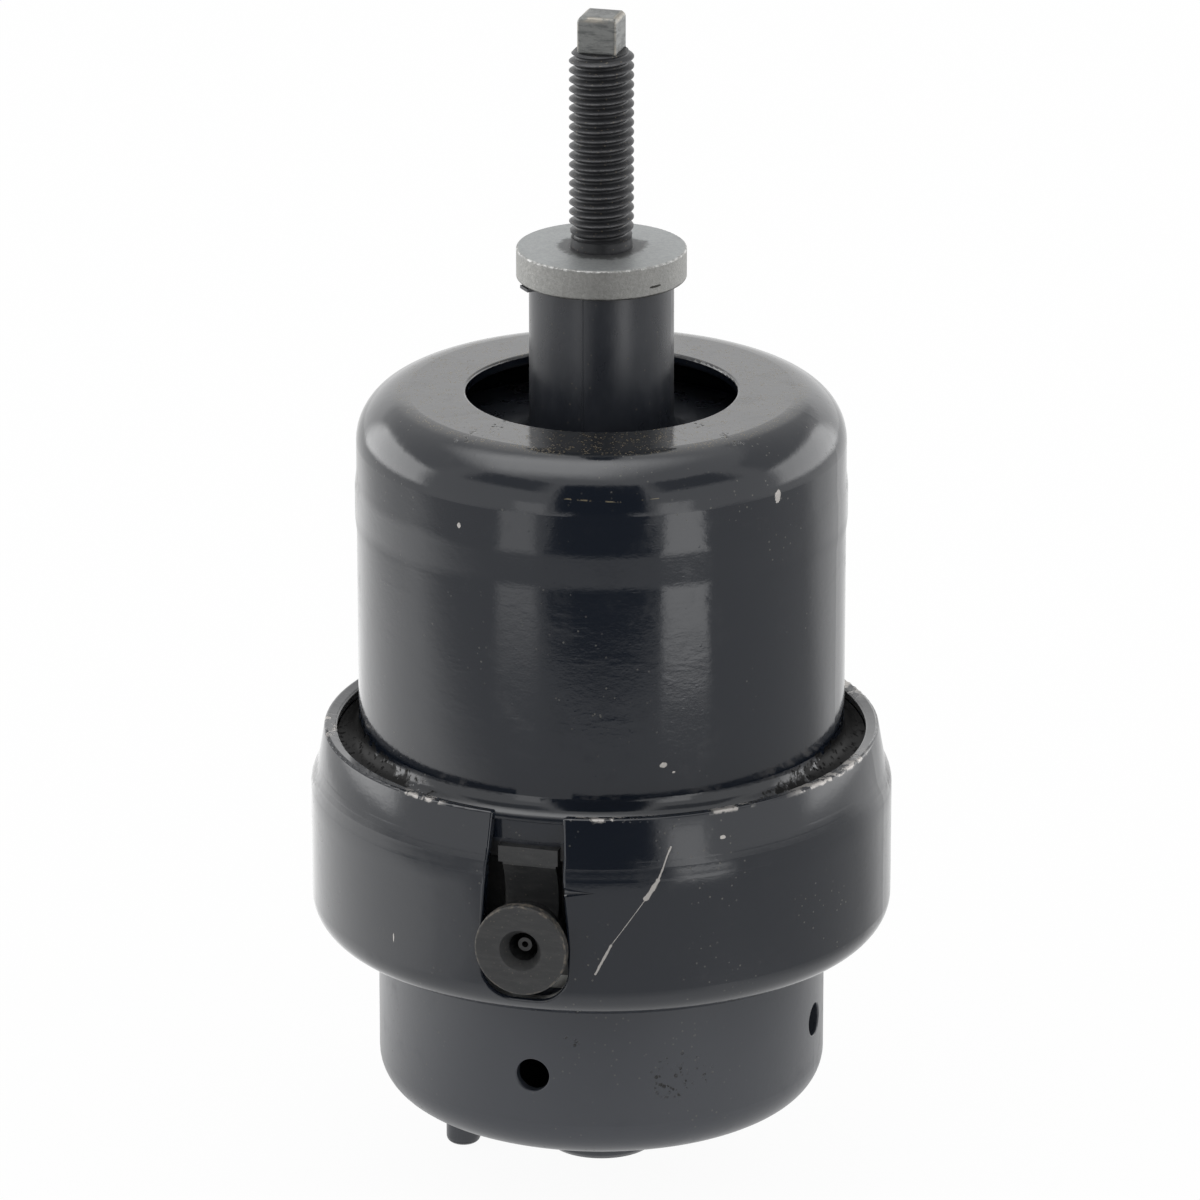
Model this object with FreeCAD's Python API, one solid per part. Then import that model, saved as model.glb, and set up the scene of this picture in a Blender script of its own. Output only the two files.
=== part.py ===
import FreeCAD, Part
import math
import os

# Hydraulic engine mount with a vacuum-switched membrane. Millimetres, +Z up.
# The origin is the centre of the base boss's lower face, on the mount's axis.
# The locating pin lies on -X, and the vacuum port faces -Y, turned by port_turn.

V = FreeCAD.Vector
UP = V(0, 0, 1)

# ---------------------------------------------------------------- fits
press_gap = 0.05          # radial gap left in a press fit
bond_gap = 0.05           # gap left where rubber is bonded to metal
slide_gap = 0.25          # radial gap between parts that slip over each other
stack_gap = 0.9           # radial gap round the clamped stack in the housing

# ---------------------------------------------------------------- cut edges
sheet_edge = 0.45         # rounding of a turned sheet's cut edge
punch_edge = 0.4          # rounding of the slot's edge on the outside
vent_edge = 0.25

# ---------------------------------------------------------------- top stud
stud_dia = 10.0           # M10 x 1.5, thread left plain
thread_len = 29.1
thread_chamfer = 0.9
collar_dia = 9.6          # plain length between thread and core
collar_len = 2.2
square_side = 6.2
square_len = 5.8
square_edge = 0.7
stud_grip = 22.0          # length screwed into the core

# ---------------------------------------------------------------- core
flange_dia = 26.3
flange_thick = 4.8
flange_edge = 0.3
neck_dia = 17.2
neck_reach = 18.3         # flange underside above the top of the cup
stop_dia = 54.0           # cast disc that limits rebound
stop_thick = 5.0
cone_dia = 38.0           # under the stop disc
nose_dia = 18.0
nose_drop = 25.5          # from the stop disc to the end of the nose
nose_bend = 3.0
core_bend = 1.5
fill_dia = 6.0            # fluid is filled through the core, then balled off

# ---------------------------------------------------------------- rubber spring
sleeve_dia = 22.4
rebound_gap = 5.3         # between the buffer and the cup
buffer_thick = 4.0        # rubber over the stop disc
buffer_side = 3.5         # rubber round the stop disc
buffer_edge = 3.0
spring_waist = 49.2       # diameter where the cone leaves the buffer
skin_thick = 1.5          # rubber skin under the nose
skin_bend = 6.0
foot_rise = 4.4           # foot of the cone above the bonded ring's flange
foot_width = 3.5
foot_bend = 1.0

# ---------------------------------------------------------------- bonded ring
ring_sheet = 1.2
ring_height = 24.0
ring_bend = 2.0

# ---------------------------------------------------------------- upper cup
cup_dia = 76.1
cup_height = 56.5         # top of the flange to the top of the cup
cup_sheet = 1.8
cup_hole_dia = 42.0
cup_shoulder = 8.0
cup_foot = 3.0            # fillet from wall to flange
band_rise = 0.25          # draw mark that stands proud of the wall
band_width = 5.0
band_drop = 15.1          # top of the cup to the top of the band
band_ease = 2.2

# ---------------------------------------------------------------- clamp housing
housing_dia = 91.2
housing_sheet = 2.1
housing_corner = 5.0
lip_rise = 1.9            # rim above the cup's flange
lip_height = 8.6          # height of the rolled-in lip
lip_lean = 2.2            # how far the rim is drawn in
lip_step = 1.1            # part of the lean taken by the step at the lip's foot
lip_step_height = 2.4
lip_bend = 5.0
lip_hold = 0.15           # how far the rim reaches over the cup's flange
slot_top = 11.0           # width of the port slot at the rim
slot_width = 13.6         # width round the port
slot_corner = 5.0
slot_drop = 8.8           # bottom of the slot under the port's axis
crease_rise = 9.3         # creases beside the slot, above the port's axis
crease_radius = 0.8
crease_right = 4.8
crease_left = 3.0

# ---------------------------------------------------------------- lower can
can_dia = 70.4
can_depth = 29.9          # bottom of the can to its flange
can_sheet = 1.6
can_corner = 6.3
can_bend = 0.5
vent_dia = 5.2
vent_count = 4
vent_height = 14.3        # above the bottom of the can

# ---------------------------------------------------------------- base fixing
boss_dia = 18.4
boss_height = 10.5
boss_chamfer = 0.8
boss_spigot = 13.0
boss_head_dia = 17.0
boss_head = 2.4
boss_thread_dia = 8.5     # tapping size of M10
boss_thread_depth = 12.0
pin_dia = 5.5
pin_offset = 23.2
pin_reach = 3.5           # below the boss's face
pin_tip = 1.2
pin_spigot = 4.0
pin_head_dia = 6.2
pin_head = 1.0

# ---------------------------------------------------------------- rolling diaphragm
bead_height = 3.0
bead_width = 3.4
bead_ring_width = 2.2     # steel ring outside the bead
diaphragm_sheet = 1.6
fold_height = 17.6        # bottom of the fold above the bottom of the can
fold_width = 11.0
fold_bend = 3.0
crown_rise = 8.5          # middle of the diaphragm above its fold
crown_dia = 31.0
crown_bend = 2.5

# ---------------------------------------------------------------- track body
track_height = 20.5
track_flange = 2.6
track_edge = 0.5
track_bend = 1.0
waist_wall = 0.6          # waist outside the cover's recess
track_floor = 4.5         # bottom face to the floor of the vacuum chamber
track_recess = 2.0        # hollow under that floor
channel_width = 5.5
channel_land = 2.0        # between the channel and the cover's edge
channel_floor = 9.5       # above the bottom face
channel_arc = 300.0       # degrees
outlet_dia = 5.0
window_turn = 5.0         # degrees from a channel end to the middle of its window
relief_wall = 3.6         # moulding pockets in the underside
relief_width = 7.0
relief_rib = 2.0          # between the pockets and the recess
relief_depth = 6.5
relief_count = 12
relief_arc = 22.0         # degrees
cover_thick = 1.2
cover_land = 3.45         # body's rim outside the cover
grid_hole = 5.2
grid_pitch = 8.1
grid_count = 3            # rings of holes, the first a single hole
gasket_thick = 0.6
gasket_width = 4.8

# ---------------------------------------------------------------- vacuum chamber
chamber_dia = 45.0
chamber_edge = 1.0
membrane_step = 4.5       # width of the step under the membrane's bead
membrane_seat = 5.8       # step under the cover
membrane_bead = 1.8
membrane_sheet = 1.5
membrane_lift = 2.2       # middle of the membrane above its bead
membrane_bend = 1.8
seat_dia = 24.0
seat_thick = 2.0
seat_rim = 1.2
seat_edge = 0.4
wire_dia = 1.2
coil_dia = 15.0
coil_turns = 3.5
coil_step_count = 16      # flats in a turn of the spring
wire_side_count = 6       # flats round its wire

# ---------------------------------------------------------------- vacuum port
port_turn = 2.5           # degrees about +Z from -Y
port_rise = 5.4           # axis above the track body's lower face
port_boss = 10.6
disc_dia = 14.5
disc_thick = 1.8
disc_gap = 0.1            # between the disc and the housing's wall
disc_edge = 0.3
funnel_dia = 6.6
funnel_depth = 1.9
socket_dia = 4.5
socket_depth = 9.0
nipple_dia = 2.2
nipple_bore = 1.0
nipple_length = 10.5
nipple_sink = 2.9         # tip of the nipple below the disc's face
tab_width = 9.4
tab_reach = 42.9
arm_width = 8.4
arm_reach = 42.2
arm_hollow = 1.7          # how deep the arm's front is dished

# ---------------------------------------------------------------- levels on the axis
can_z = boss_height
can_flange_z = can_z + can_depth
bead_z = can_flange_z + can_sheet
track_z = bead_z + bead_height
track_top_z = track_z + track_height
ring_z = track_top_z + gasket_thick
cup_flange_z = ring_z + ring_sheet
cup_seat_z = cup_flange_z + cup_sheet
cup_top_z = cup_seat_z + cup_height
rim_z = cup_seat_z + lip_rise
floor_z = can_flange_z - housing_sheet
neck_z = cup_top_z + neck_reach
flange_z = neck_z + flange_thick
buffer_z = cup_top_z - cup_sheet - rebound_gap
stop_z = buffer_z - buffer_thick
nose_z = stop_z - stop_thick - nose_drop
chamber_z = track_z + track_floor
cover_z = track_top_z - cover_thick
seat_z = cover_z - membrane_seat
port_z = track_z + port_rise
fold_z = can_z + fold_height
disc_reach = housing_dia / 2 + disc_gap + disc_thick

# ---------------------------------------------------------------- shared radii
stack_r = housing_dia / 2 - housing_sheet - stack_gap
seat_r = housing_dia / 2 - housing_corner - press_gap
clamp_r = housing_dia / 2 - lip_lean - housing_sheet + lip_hold
ring_r = cup_dia / 2 - cup_sheet - slide_gap
can_inner_r = can_dia / 2 - can_sheet
cover_r = clamp_r - cover_land
waist_r = cover_r + waist_wall
channel_r = cover_r - channel_land
relief_r = waist_r - relief_wall
membrane_r = chamber_dia / 2 + membrane_step


# ================================================================ profiles
def rounded_edges(corners):
    """Close a profile through (r, z, bend) corners, each bend a tangent arc."""
    tangents = []
    count = len(corners)
    for index, (r, z, bend) in enumerate(corners):
        here = V(r, 0, z)
        before = V(corners[index - 1][0], 0, corners[index - 1][1]) - here
        after = V(corners[(index + 1) % count][0], 0, corners[(index + 1) % count][1]) - here
        before.normalize()
        after.normalize()
        if bend <= 0:
            tangents.append((here, None, here))
            continue
        half = before.getAngle(after) / 2
        middle = (before + after).normalize()
        reach = bend / math.tan(half)
        crown = here + middle * (bend / math.sin(half) - bend)
        tangents.append((here + before * reach, crown, here + after * reach))
    edges = []
    for index, (start, crown, end) in enumerate(tangents):
        if crown is not None:
            edges.append(Part.Arc(start, crown, end).toShape())
        following = tangents[(index + 1) % count][0]
        if end.distanceToPoint(following) > 1e-6:
            edges.append(Part.makeLine(end, following))
    return edges


def revolve(corners, angle=360.0):
    """Turn a closed (r, z, bend) profile about the Z axis."""
    face = Part.Face(Part.Wire(rounded_edges(corners)))
    return face.revolve(V(0, 0, 0), UP, angle)


def sheet(path, thick):
    """Profile of a formed sheet: an open (r, z, bend) path, thickened to its left."""
    normals = []
    for (r0, z0, _), (r1, z1, _) in zip(path, path[1:]):
        length = math.hypot(r1 - r0, z1 - z0)
        normals.append(((z0 - z1) / length, (r1 - r0) / length))
    offset = []
    for index, (r, z, bend) in enumerate(path):
        n0 = normals[max(index - 1, 0)]
        n1 = normals[min(index, len(normals) - 1)]
        share = thick / (1 + n0[0] * n1[0] + n0[1] * n1[1])
        turn = n0[0] * n1[1] - n0[1] * n1[0]
        inner_bend = bend - thick if turn > 0 else bend + thick
        inner_bend = max(inner_bend, 0) if bend > 0 else 0
        if index in (0, len(path) - 1):
            inner_bend = bend
        offset.append((r + (n0[0] + n1[0]) * share, z + (n0[1] + n1[1]) * share, inner_bend))
    return list(path) + offset[::-1]


def ring(outer_r, inner_r, z0, z1):
    """Flat ring, or a disc where inner_r is 0, between two heights."""
    return revolve([(inner_r, z0, 0), (outer_r, z0, 0), (outer_r, z1, 0), (inner_r, z1, 0)])


def cylinder(radius, height, base, axis=UP):
    return Part.makeCylinder(radius, height, base, axis)


def turn_to_port(shape):
    """Turn a shape modelled with its port on -Y to the port's real direction."""
    return shape.rotated(V(0, 0, 0), UP, port_turn)


# ================================================================ top: stud, core, rubber
def mounting_stud():
    thread_z = flange_z + collar_len
    square_z = thread_z + thread_len
    shank = revolve([
        (0, flange_z - stud_grip, 0),
        (stud_dia / 2 - thread_chamfer, flange_z - stud_grip, 0),
        (stud_dia / 2, flange_z - stud_grip + thread_chamfer, 0),
        (stud_dia / 2, flange_z, 0),
        (collar_dia / 2, flange_z, 0),
        (collar_dia / 2, thread_z, 0),
        (stud_dia / 2, thread_z, 0),
        (stud_dia / 2, square_z - thread_chamfer, 0),
        (stud_dia / 2 - thread_chamfer, square_z, 0),
        (0, square_z, 0),
    ])
    square = Part.makeBox(square_side, square_side, square_len,
                          V(-square_side / 2, -square_side / 2, square_z))
    top_edges = [edge for edge in square.Edges
                 if edge.BoundBox.ZMin > square_z + square_len / 2]
    square = square.makeChamfer(square_edge, top_edges)
    return turn_to_port(shank.fuse(square).removeSplitter())


def core_outline(grow=0.0):
    """Outside of the core below its flange, grown by a gap for what is bonded to it."""
    return [
        (0, nose_z - grow, 0),
        (nose_dia / 2 + grow, nose_z - grow, nose_bend),
        (cone_dia / 2 + grow, stop_z - stop_thick - grow, core_bend),
        (stop_dia / 2 + grow, stop_z - stop_thick - grow, core_bend),
        (stop_dia / 2 + grow, stop_z + grow, core_bend),
        (neck_dia / 2 + grow, stop_z + grow, core_bend),
        (neck_dia / 2 + grow, neck_z, 0),
        (0, neck_z, 0),
    ]


def core():
    body = revolve(core_outline())
    flange = revolve([
        (0, neck_z, 0),
        (flange_dia / 2, neck_z, flange_edge),
        (flange_dia / 2, flange_z, flange_edge),
        (0, flange_z, 0),
    ])
    stud_bore = cylinder(stud_dia / 2 + press_gap, stud_grip, V(0, 0, flange_z - stud_grip))
    fill_bore = cylinder(fill_dia / 2 + press_gap, flange_z - nose_z, V(0, 0, nose_z))
    return body.fuse(flange).cut(stud_bore.fuse(fill_bore)).removeSplitter()


def fill_ball():
    """Ball pressed into the filling bore under the end of the stud."""
    return Part.makeSphere(fill_dia / 2, V(0, 0, flange_z - stud_grip - fill_dia))


def main_rubber():
    """Spring, rebound buffer and neck sleeve, moulded in one shot on core and ring."""
    buffer_r = stop_dia / 2 + buffer_side
    under_buffer = stop_z - stop_thick - buffer_side
    ring_inner = ring_r - ring_sheet - bond_gap
    body = revolve([
        (0, nose_z - skin_thick, 0),
        (nose_dia / 2 + skin_thick, nose_z - skin_thick, skin_bend),
        (ring_inner - foot_width, ring_z + foot_rise, foot_bend),
        (ring_inner, ring_z + foot_rise, 0),
        (ring_inner, ring_z + ring_height, 0),
        (spring_waist / 2, under_buffer, buffer_edge),
        (buffer_r, under_buffer, buffer_edge),
        (buffer_r, buffer_z, buffer_edge),
        (sleeve_dia / 2, buffer_z, buffer_edge),
        (sleeve_dia / 2, neck_z, 0),
        (0, neck_z, 0),
    ])
    fill_bore = cylinder(fill_dia / 2 + press_gap, stop_z, V(0, 0, 0))
    return body.cut(revolve(core_outline(bond_gap))).cut(fill_bore)


def bonded_ring():
    return revolve(sheet([
        (ring_r - ring_sheet, ring_z + ring_height, 0),
        (ring_r - ring_sheet, ring_z, ring_bend),
        (clamp_r, ring_z, 0),
    ], ring_sheet))


def upper_cup():
    """Drawn cup: flange, wall with its draw mark, shoulder and centre hole."""
    wall_r = cup_dia / 2
    band_z = cup_top_z - band_drop
    return revolve(sheet([
        (clamp_r, cup_seat_z, 0),
        (wall_r, cup_seat_z, cup_foot),
        (wall_r, band_z - band_width - band_ease, band_ease),
        (wall_r + band_rise, band_z - band_width, band_ease),
        (wall_r + band_rise, band_z, band_ease),
        (wall_r, band_z + band_ease, band_ease),
        (wall_r, cup_top_z, cup_shoulder),
        (cup_hole_dia / 2, cup_top_z, sheet_edge),
    ], cup_sheet))


# ================================================================ housing and lower can
def port_slot():
    """Keyhole through the housing wall, wider round the port than at the rim."""
    bottom = port_z - slot_drop
    top = rim_z + lip_rise
    corners = [
        (-slot_width / 2, bottom, slot_corner),
        (slot_width / 2, bottom, slot_corner),
        (slot_width / 2, port_z, 0),
        (slot_top / 2, rim_z, 0),
        (slot_top / 2, top, 0),
        (-slot_top / 2, top, 0),
        (-slot_top / 2, rim_z, 0),
        (-slot_width / 2, port_z, 0),
    ]
    face = Part.Face(Part.Wire(rounded_edges(corners)))
    return face.extrude(V(0, -housing_dia, 0))


def slot_edges(body):
    """Edges of the slot on the outer side of the sheet."""
    edges = []
    for edge in body.Edges:
        middle = edge.valueAt((edge.FirstParameter + edge.LastParameter) / 2)
        lean = lip_lean * max(middle.z - (rim_z - lip_height), 0) / lip_height
        inside_r = housing_dia / 2 - housing_sheet * 0.4 - lean
        beside = abs(middle.x) < slot_width / 2 + sheet_edge and middle.y < 0
        if beside and math.hypot(middle.x, middle.y) > inside_r:
            edges.append(edge)
    return edges


def crease(side, length):
    """Crease that runs out along the wall from one side of the slot."""
    outer_r = housing_dia / 2
    start = side * (slot_top + slot_width) / 4
    middle = start + side * length / 2
    along = V(side * math.sqrt(outer_r ** 2 - middle ** 2), side * middle, 0)
    base = V(start, -math.sqrt(outer_r ** 2 - start ** 2), port_z + crease_rise)
    return Part.makeCone(crease_radius, 0, length, base, along)


def clamp_housing():
    """Drawn ring that clamps the stack: floor, wall and rolled-in lip, with the slot."""
    outer_r = housing_dia / 2
    body = revolve(sheet([
        (can_dia / 2 + can_bend + press_gap * 2, floor_z, 0),
        (outer_r, floor_z, housing_corner),
        (outer_r, rim_z - lip_height, lip_bend),
        (outer_r - lip_step, rim_z - lip_height + lip_step_height, lip_bend),
        (outer_r - lip_lean, rim_z, sheet_edge),
    ], housing_sheet))
    body = body.cut(port_slot()).Solids[0]
    body = body.makeFillet(punch_edge, slot_edges(body))
    return turn_to_port(body.cut([crease(1, crease_right), crease(-1, crease_left)]))


def lower_can():
    body = revolve(sheet([
        (0, can_z, 0),
        (can_dia / 2, can_z, can_corner),
        (can_dia / 2, can_flange_z, can_bend),
        (seat_r, can_flange_z, 0),
    ], can_sheet))
    body = body.cut(cylinder(boss_spigot / 2 + press_gap, can_depth, V(0, 0, 0)))
    body = body.cut(cylinder(pin_spigot / 2 + press_gap, can_depth, V(-pin_offset, 0, 0)))
    for index in range(vent_count):
        angle = 2 * math.pi * index / vent_count
        outward = V(math.cos(angle), math.sin(angle), 0)
        body = body.cut(cylinder(vent_dia / 2, can_dia, V(0, 0, can_z + vent_height), outward))
    vent_rims = [edge for edge in body.Edges
                 if edge.BoundBox.Center.Length > can_inner_r + can_sheet / 2
                 and edge.BoundBox.ZLength > vent_dia * 0.9
                 and edge.BoundBox.ZMax < can_z + vent_height + vent_dia]
    return body.Solids[0].makeFillet(vent_edge, vent_rims)


def base_boss():
    """Tapped boss, riveted over inside the can."""
    inner_z = can_z + can_sheet
    body = revolve([
        (0, 0, 0),
        (boss_dia / 2 - boss_chamfer, 0, 0),
        (boss_dia / 2, boss_chamfer, 0),
        (boss_dia / 2, can_z, 0),
        (boss_spigot / 2, can_z, 0),
        (boss_spigot / 2, inner_z, 0),
        (boss_head_dia / 2, inner_z, 0),
        (boss_head_dia / 2, inner_z + boss_head, boss_head * 0.4),
        (0, inner_z + boss_head, 0),
    ])
    return body.cut(cylinder(boss_thread_dia / 2, boss_thread_depth, V(0, 0, 0)))


def locating_pin():
    """Pin that stops the mount turning, riveted over inside the can."""
    inner_z = can_z + can_sheet
    body = revolve([
        (0, -pin_reach, 0),
        (pin_dia / 2, -pin_reach, pin_tip),
        (pin_dia / 2, can_z, 0),
        (pin_spigot / 2, can_z, 0),
        (pin_spigot / 2, inner_z, 0),
        (pin_head_dia / 2, inner_z, 0),
        (pin_head_dia / 2, inner_z + pin_head, pin_head * 0.6),
        (0, inner_z + pin_head, 0),
    ])
    return body.translated(V(-pin_offset, 0, 0))


# ================================================================ rolling diaphragm
def lower_diaphragm():
    """Thin rubber skin with one rolling fold, and the bead clamped on the can's flange."""
    hang_r = can_inner_r - slide_gap * 2
    bead_out = seat_r - bead_ring_width - bond_gap
    web_z = bead_z + (bead_height - diaphragm_sheet) / 2
    skin = revolve(sheet([
        (0, fold_z + crown_rise, 0),
        (crown_dia / 2, fold_z + crown_rise, crown_bend),
        (hang_r - fold_width, fold_z, fold_bend),
        (hang_r, fold_z, fold_bend + diaphragm_sheet / 2),
        (hang_r, web_z, diaphragm_sheet),
        (bead_out, web_z, 0),
    ], diaphragm_sheet))
    bead = ring(bead_out, bead_out - bead_width, bead_z, track_z)
    return skin.fuse(bead).removeSplitter()


def diaphragm_ring():
    """Steel ring that takes the clamping load round the bead."""
    return ring(seat_r, seat_r - bead_ring_width, bead_z, track_z)


# ================================================================ track body
def channel_window(turn, height):
    """Round window at an angle along the channel, from the channel's start."""
    angle = math.radians((360 - channel_arc) / 2 - 90 + turn)
    middle_r = channel_r - channel_width / 2
    return cylinder(outlet_dia / 2, height,
                    V(middle_r * math.cos(angle), middle_r * math.sin(angle), 0))


def channel():
    """Ring channel of the inertia track, open at the top, ending in its outlet."""
    floor = track_z + channel_floor
    groove = revolve([
        (channel_r - channel_width, floor, 0),
        (channel_r, floor, 0),
        (channel_r, track_top_z, 0),
        (channel_r - channel_width, track_top_z, 0),
    ], channel_arc)
    groove = groove.rotated(V(0, 0, 0), UP, (360 - channel_arc) / 2 - 90)
    return groove.fuse(channel_window(channel_arc - window_turn, floor + channel_width))


def relief_pockets():
    """Moulding pockets in the underside, left out at the port and at the outlet."""
    pocket = revolve([
        (relief_r - relief_width, track_z, 0),
        (relief_r, track_z, 0),
        (relief_r, track_z + relief_depth, 0),
        (relief_r - relief_width, track_z + relief_depth, 0),
    ], relief_arc)
    step = 360 / relief_count
    return [pocket.rotated(V(0, 0, 0), UP, index * step - 90 - relief_arc / 2)
            for index in range(1, relief_count - 1)]


def port_arm():
    """Tab in the slot, dished arm, boss and disc of the port, all facing -Y."""
    inside = cover_r
    tab_z = track_top_z - track_flange
    tab = Part.makeBox(tab_width, tab_reach - inside, track_flange,
                       V(-tab_width / 2, -tab_reach, tab_z))
    top = V(-arm_width / 2, -arm_reach, tab_z)
    ledge = V(-arm_width / 2, -arm_reach, tab_z - track_flange / 4)
    bottom = V(-arm_width / 2, -arm_reach, port_z)
    dish = V(-arm_width / 2, -arm_reach + arm_hollow, (ledge.z + bottom.z) / 2)
    back_top = V(-arm_width / 2, -inside, tab_z)
    back_bottom = V(-arm_width / 2, -inside, port_z)
    outline = Part.Wire([
        Part.makeLine(top, ledge),
        Part.Arc(ledge, dish, bottom).toShape(),
        Part.makeLine(bottom, back_bottom),
        Part.makeLine(back_bottom, back_top),
        Part.makeLine(back_top, top),
    ])
    arm = Part.Face(outline).extrude(V(arm_width, 0, 0))
    boss = cylinder(port_boss / 2, disc_reach - disc_thick - inside,
                    V(0, -inside, port_z), V(0, -1, 0))
    disc = cylinder(disc_dia / 2, disc_thick, V(0, disc_thick - disc_reach, port_z), V(0, -1, 0))
    disc = disc.makeFillet(disc_edge, [edge for edge in disc.Edges
                                       if edge.BoundBox.YLength < 1e-3])
    return tab.fuse([arm, boss, disc])


def port_passage():
    """Funnel, socket and air passage from the disc's face to the vacuum chamber."""
    face = V(0, -disc_reach, port_z)
    inward = V(0, 1, 0)
    funnel = Part.makeCone(funnel_dia / 2, socket_dia / 2, funnel_depth, face, inward)
    socket = cylinder(socket_dia / 2, socket_depth, face, inward)
    passage = cylinder(nipple_dia / 2 + press_gap, disc_reach - chamber_dia / 2 + wire_dia,
                       face, inward)
    return funnel.fuse([socket, passage])


def track_body():
    """Moulded body with the inertia track, the vacuum chamber and the port's arm."""
    waist_top = track_top_z - track_flange
    waist_bottom = track_z + track_flange
    recess_r = relief_r - relief_width - relief_rib
    body = revolve([
        (0, track_z + track_recess, 0),
        (recess_r, track_z + track_recess, 0),
        (recess_r, track_z, 0),
        (stack_r, track_z, 0),
        (stack_r, waist_bottom, track_edge),
        (waist_r, waist_bottom, track_bend),
        (waist_r, waist_top, track_bend),
        (clamp_r, waist_top, track_edge),
        (clamp_r, track_top_z, 0),
        (cover_r, track_top_z, 0),
        (cover_r, cover_z, 0),
        (membrane_r, cover_z, 0),
        (membrane_r, seat_z, 0),
        (chamber_dia / 2, seat_z, 0),
        (chamber_dia / 2, chamber_z, chamber_edge),
        (0, chamber_z, 0),
    ])
    body = body.fuse(port_arm())
    body = body.cut([channel(), port_passage()] + relief_pockets())
    return turn_to_port(body.removeSplitter())


def port_nipple():
    tube = cylinder(nipple_dia / 2, nipple_length, V(0, nipple_sink - disc_reach, port_z),
                    V(0, 1, 0))
    bore = cylinder(nipple_bore / 2, nipple_length, V(0, nipple_sink - disc_reach, port_z),
                    V(0, 1, 0))
    return turn_to_port(tube.cut(bore))


def track_cover():
    """Steel cover: grid over the membrane and window into the start of the channel."""
    plate = ring(cover_r - press_gap, 0, cover_z, track_top_z)
    holes = [channel_window(window_turn, track_top_z)]
    for ring_index in range(grid_count):
        radius = grid_pitch * ring_index
        count = max(1, 6 * ring_index)
        for index in range(count):
            angle = 2 * math.pi * index / count
            centre = V(radius * math.cos(angle), radius * math.sin(angle), cover_z)
            holes.append(cylinder(grid_hole / 2, cover_thick, centre))
    return turn_to_port(plate.cut(holes))


def chamber_gasket():
    """Flat rubber ring between the track body and the bonded ring."""
    return ring(clamp_r, clamp_r - gasket_width, track_top_z, ring_z)


# ================================================================ vacuum switch
def switching_membrane():
    """Rubber membrane whose bead is clamped on the step in the track body."""
    bead_r = membrane_r - press_gap
    fold_r = chamber_dia / 2 - membrane_bead
    skin = revolve(sheet([
        (0, seat_z + membrane_lift, 0),
        (seat_dia / 2 + seat_rim, seat_z + membrane_lift, membrane_bend),
        (fold_r - membrane_sheet, seat_z, membrane_bend),
        (bead_r, seat_z, 0),
    ], membrane_sheet))
    bead = ring(bead_r, chamber_dia / 2, seat_z, seat_z + membrane_bead)
    return skin.fuse(bead).removeSplitter()


def membrane_clamp():
    """Spacer ring that the cover presses on the membrane's bead."""
    return ring(membrane_r - press_gap, chamber_dia / 2, seat_z + membrane_bead, cover_z)


def spring_seat():
    """Moulded disc between the membrane and the spring, with a locating rim."""
    top = seat_z + membrane_lift
    inner = (coil_dia - wire_dia) / 2 - slide_gap
    return revolve([
        (0, top - seat_thick - seat_rim, 0),
        (inner, top - seat_thick - seat_rim, 0),
        (inner, top - seat_thick, 0),
        (seat_dia / 2, top - seat_thick, seat_edge),
        (seat_dia / 2, top, seat_edge),
        (0, top, 0),
    ])


def return_spring():
    """Compression spring that lifts the membrane against the grid when air is let in."""
    low = chamber_z + wire_dia / 2
    high = seat_z + membrane_lift - seat_thick - wire_dia / 2
    stations = int(coil_turns * coil_step_count)
    sections = []
    for station in range(stations + 1):
        turn = 2 * math.pi * station / coil_step_count
        centre_z = low + (high - low) * station / stations
        corners = []
        for side in range(wire_side_count + 1):
            around = 2 * math.pi * (side + 0.5) / wire_side_count
            radius = (coil_dia + wire_dia * math.cos(around)) / 2
            corners.append(V(radius * math.cos(turn), radius * math.sin(turn),
                             centre_z + wire_dia / 2 * math.sin(around)))
        sections.append(Part.makePolygon(corners))
    return Part.makeLoft(sections, True, True)


NODES = {
    "mounting_stud": mounting_stud,
    "core": core,
    "fill_ball": fill_ball,
    "main_rubber": main_rubber,
    "bonded_ring": bonded_ring,
    "upper_cup": upper_cup,
    "clamp_housing": clamp_housing,
    "lower_can": lower_can,
    "base_boss": base_boss,
    "locating_pin": locating_pin,
    "lower_diaphragm": lower_diaphragm,
    "diaphragm_ring": diaphragm_ring,
    "track_body": track_body,
    "track_cover": track_cover,
    "chamber_gasket": chamber_gasket,
    "port_nipple": port_nipple,
    "switching_membrane": switching_membrane,
    "membrane_clamp": membrane_clamp,
    "spring_seat": spring_seat,
    "return_spring": return_spring,
}

os.makedirs("parts", exist_ok=True)
for name, build in NODES.items():
    shape = build()
    shape.exportStep("parts/" + name + ".step")
    print(f"{name}: {shape.Volume:.0f} mm3, valid {shape.isValid()}, solids {len(shape.Solids)}")
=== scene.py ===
"""Dressed model of a fluid-filled engine mount, in metres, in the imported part's own frame.

The solids of the part stay as they are and get their finishes here. The stud with its
thread, the tapped boss and the moulding marks of the rubber are modelled here.
"""
import logging
import math
from contextlib import contextmanager
from dataclasses import dataclass, replace
from enum import Enum
from typing import Callable, Iterable, Iterator, Sequence

import bpy
from mathutils import Matrix, Vector


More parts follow.
